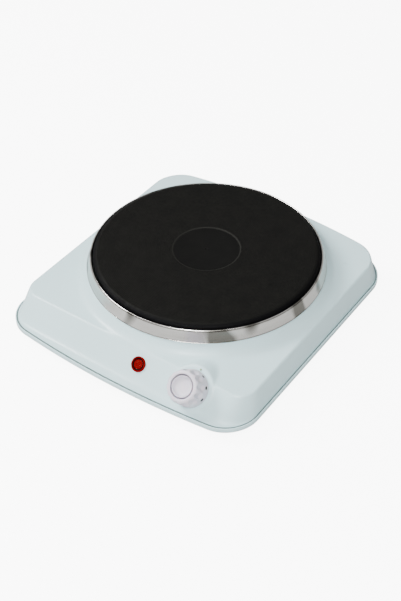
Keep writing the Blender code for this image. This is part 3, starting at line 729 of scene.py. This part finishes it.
def disc(name, radius, look, at, body):
    """A thin printed spot with an eased edge."""
    profile = eased_profile([
        (0, 0.06, 0), (radius, 0.05, 0.05), (radius, -0.1, 0.02), (0, -0.1, 0)], steps=2)
    return turned(name, profile, "dark_plastic", at, 28, body=body, look=look)


def make_dots():
    """Three setting dots on the skirt, and the mark on the seat that they are turned to."""
    for i, (degrees, radius) in enumerate(DOTS, 1):
        turn = math.radians(degrees)
        place = Vector((DOT_OUT * math.sin(turn), DOT_OUT * math.cos(turn), DOT_HEIGHT))
        spot = Matrix.Translation(place * MM)
        facing = Matrix.Rotation(-turn, 4, "Z") @ Matrix.Rotation(math.radians(DOT_LEAN), 4, "X")
        disc(f"setting_dot_{i}", radius, DOT_INK, AT_KNOB @ spot @ facing, "knob_and_spindle")
    mark = Matrix.Translation(Vector(MARK_AT) * MM)
    disc("setting_mark", 0.75, TICK_INK, AT_KNOB @ mark, "base")


def make_lamp():
    """Indicator: a red bezel, a black ring round the lens, and a low dome with diagonal ribs."""
    rim = eased_profile([
        (3.8, 0.5, 0.1), (4.9, 0.75, 0.1), (5.1, 1.5, 0.2), (5.5, 1.7, 0.3), (6.1, 1.2, 0.4),
        (6.2, 0.35, 0.2), (4.6, 0.35, 0.1), (4.6, -8.0, 0.2), (3.8, -8.0, 0.1)], steps=4, loop=True)
    turned("lamp_bezel_rim", rim, "lamp_red", AT_LAMP, LAMP_STEPS, stands_for=["lamp_bezel"])
    well = eased_profile([(3.85, 0.6, 0.1), (4.2, 0.85, 0.15), (4.95, 0.85, 0.1), (4.95, 0.4, 0.1),
                          (3.85, 0.4, 0.1)], steps=3, loop=True)
    turned("lamp_dark_ring", well, "lamp_red", AT_LAMP, LAMP_STEPS, look=LAMP_GASKET)
    rows = [np.array([r, 1.5 - 0.05 * r**2]) for r in np.linspace(0, DOME_R, DOME_ROWS)]
    rows += [np.array([3.7, 0.5]), np.array([3.7, -3.5]), np.array([0, -3.5])]
    points = turned_points(rows, LAMP_STEPS)
    dome = points[:DOME_ROWS]
    across = dome[..., 0] * math.cos(RIB_SLANT) + dome[..., 1] * math.sin(RIB_SLANT)
    fade = np.clip((DOME_R - np.hypot(dome[..., 0], dome[..., 1])) / 0.4, 0, 1)
    dome[..., 2] += RIB_HEIGHT * np.sin(2 * math.pi * across / RIB_PITCH) * fade
    piece_from("lamp_ribbed_lens", points, quads(len(rows), LAMP_STEPS)[:, ::-1], "lens_red", AT_LAMP,
               stands_for=["lamp_lens"], sharp=70)


# --- underside and inlet -------------------------------------------------------------------------


def make_feet():
    for i in range(1, 5):
        low, high = corners_of(f"foot_{i}")
        x, y = (low + high)[:2] / 2
        at = Matrix.Translation(Vector((x, y, 0)) * MM)
        profile = eased_profile([
            (2.0, FOOT_H, 0.1), (7.2, FOOT_H, 0.3), (8.0, 8.3, 0.5), (8.5, 5.0, 0.4), (8.3, 4.6, 0.15),
            (8.6, 4.2, 0.15), (9.0, 1.0, 0.4), (8.2, 0, 0.4), (6.6, 0, 0.2), (6.3, 0.5, 0.2),
            (5.6, 0.5, 0.2), (5.3, 0, 0.2), (4.3, 0, 0.2), (4.3, 5.6, 0.3), (2.0, 5.6, 0.1)],
            steps=3, loop=True)
        turned(f"foot_pad_{i}", profile, "rubber", at, 72, stands_for=[f"foot_{i}"])


def make_gland():
    """Strain relief collar with grip ribs round it."""
    face = GLAND_FACE
    corners = [(4.2, face, 0.6), (6.6, face, 0.5), (6.9, face - 1.2, 0.3)]
    for i in range(3):
        back = face - 1.6 - 1.1 * i
        more = 0.1 * i
        corners += [(7.1 + more, back, 0.1), (7.5 + more, back - 0.4, 0.2), (7.2 + more, back - 0.9, 0.1)]
    corners += [
        (8.0, face - 5.0, 0.3), (8.0, face - 13.2, 0.2), (6.2, face - 13.6, 0.2), (4.2, face - 13.8, 0.2)]
    turned("cord_gland_collar", eased_profile(corners, steps=3, loop=True), "dark_plastic", AT_GLAND, 96,
           stands_for=["cord_gland"])


# --- stage ---------------------------------------------------------------------------------------

SEEN_WHITE = 8.0                            # light of what the camera sees round the object
WORLD_STRENGTH = 0.8
FLOOR_HALF = 0.9                            # metres
VIEW_AZIMUTH, VIEW_ELEVATION, VIEW_ROLL = 35.63, 41.8, -0.78
VIEW_DISTANCE = 892.24
VIEW_RIGHT, VIEW_UP = -4.88, -42.40         # where it aims, seen from the plate's centre


def make_floor():
    """Pale floor; light of its own, for the camera alone, keeps it as bright as a paper sweep."""
    look = new_look("floor_paper", (0.62, 0.63, 0.63), 0.75, Specular_IOR_Level=0.1)
    tinted(look, noise(look, 3, 3), (0.60, 0.61, 0.61), (0.63, 0.64, 0.64))
    bumped(look, noise(look, 250), 0.05, 0.05)
    tree = look.node_tree
    glow = add_node(look, "ShaderNodeEmission", {"Color": (1.0, 1.0, 1.0, 1), "Strength": SEEN_WHITE})
    seen = add_node(look, "ShaderNodeLightPath")
    lit = add_node(look, "ShaderNodeMixShader")
    both = add_node(look, "ShaderNodeAddShader")
    join(look, shader_of(look).outputs["BSDF"], both, 0)
    join(look, glow.outputs["Emission"], both, 1)
    join(look, seen.outputs["Is Camera Ray"], lit, 0)
    join(look, shader_of(look).outputs["BSDF"], lit, 1)
    join(look, both.outputs["Shader"], lit, 2)
    join(look, lit.outputs["Shader"], tree.nodes["Material Output"], "Surface")
    mesh = bpy.data.meshes.new("floor")
    bm = bmesh.new()
    bmesh.ops.create_grid(bm, x_segments=8, y_segments=8, size=FLOOR_HALF)
    bm.to_mesh(mesh)
    bm.free()
    mesh.materials.append(look)
    floor = bpy.data.objects.new("floor", mesh)
    bpy.context.scene.collection.objects.link(floor)


def make_world():
    """White for the camera; for the rest a soft room that is darkest low down."""
    world = bpy.data.worlds.new("studio")
    bpy.context.scene.world = world
    world.use_nodes = True
    tree = world.node_tree
    tree.nodes.clear()
    link = tree.links.new
    place = tree.nodes.new("ShaderNodeTexCoord")
    split = tree.nodes.new("ShaderNodeSeparateXYZ")
    link(place.outputs["Generated"], split.inputs["Vector"])

    room = tree.nodes.new("ShaderNodeValToRGB")
    ramp = room.color_ramp.elements
    ramp[0].position, ramp[0].color = 0.0, (0.42, 0.41, 0.39, 1)
    ramp[1].position, ramp[1].color = 1.0, (0.9, 0.9, 0.9, 1)
    ramp.new(0.3).color = (0.5, 0.5, 0.49, 1)
    link(split.outputs["Z"], room.inputs["Fac"])

    around = tree.nodes.new("ShaderNodeBackground")
    link(room.outputs["Color"], around.inputs["Color"])
    around.inputs["Strength"].default_value = WORLD_STRENGTH
    white = tree.nodes.new("ShaderNodeBackground")
    white.inputs["Strength"].default_value = SEEN_WHITE
    white.inputs["Color"].default_value = (1, 1, 1, 1)
    seen = tree.nodes.new("ShaderNodeLightPath")
    mix = tree.nodes.new("ShaderNodeMixShader")
    link(seen.outputs["Is Camera Ray"], mix.inputs[0])
    link(around.outputs["Background"], mix.inputs[1])
    link(white.outputs["Background"], mix.inputs[2])
    link(mix.outputs["Shader"], tree.nodes.new("ShaderNodeOutputWorld").inputs["Surface"])


def softbox(name, azimuth, elevation, distance, size, watts):
    """Square area light aimed at the plate; azimuth 0 is in front and 90 on the right."""
    turn, lift = math.radians(azimuth), math.radians(elevation)
    away = Vector((math.sin(turn) * math.cos(lift), -math.cos(turn) * math.cos(lift), math.sin(lift)))
    light = bpy.data.lights.new(name, "AREA")
    light.energy = watts
    light.size = size
    lamp = bpy.data.objects.new(name, light)
    bpy.context.scene.collection.objects.link(lamp)
    lamp.location = away * distance + Vector((0, 0, 0.03))
    lamp.rotation_euler = away.to_track_quat("Z", "Y").to_euler()


def make_lights():
    softbox("left_box", 292, 46, 1.3, 0.45, 22)
    softbox("front_box", 24, 46, 1.4, 0.7, 17)
    softbox("catch_box", 14, 50, 1.4, 0.2, 7)


def make_camera():
    """The view of a person standing at the right front corner."""
    azimuth, elevation, roll = map(math.radians, (VIEW_AZIMUTH, VIEW_ELEVATION, VIEW_ROLL))
    back = Vector((math.sin(azimuth) * math.cos(elevation), -math.cos(azimuth) * math.cos(elevation),
                   math.sin(elevation)))
    level = Vector((math.cos(azimuth), math.sin(azimuth), 0))
    upright = back.cross(level)
    right = level * math.cos(roll) + upright * math.sin(roll)
    up = back.cross(right)
    aim = Vector((PLATE_X, PLATE_Y, PLATE_TOP)) + right * VIEW_RIGHT + up * VIEW_UP
    data = bpy.data.cameras.new("camera")
    data.lens = 65.9
    data.clip_start = 0.01
    camera = bpy.data.objects.new("camera", data)
    bpy.context.scene.collection.objects.link(camera)
    turn = Matrix((right, up, back)).transposed().to_4x4()
    camera.matrix_world = Matrix.Translation((aim + back * VIEW_DISTANCE) * MM) @ turn
    bpy.context.scene.camera = camera


dress_frame()
make_camera()
make_housing()
make_hotplate()
make_spill_ring()
make_knob()
make_lamp()
make_feet()
make_gland()
make_floor()
make_world()
make_lights()
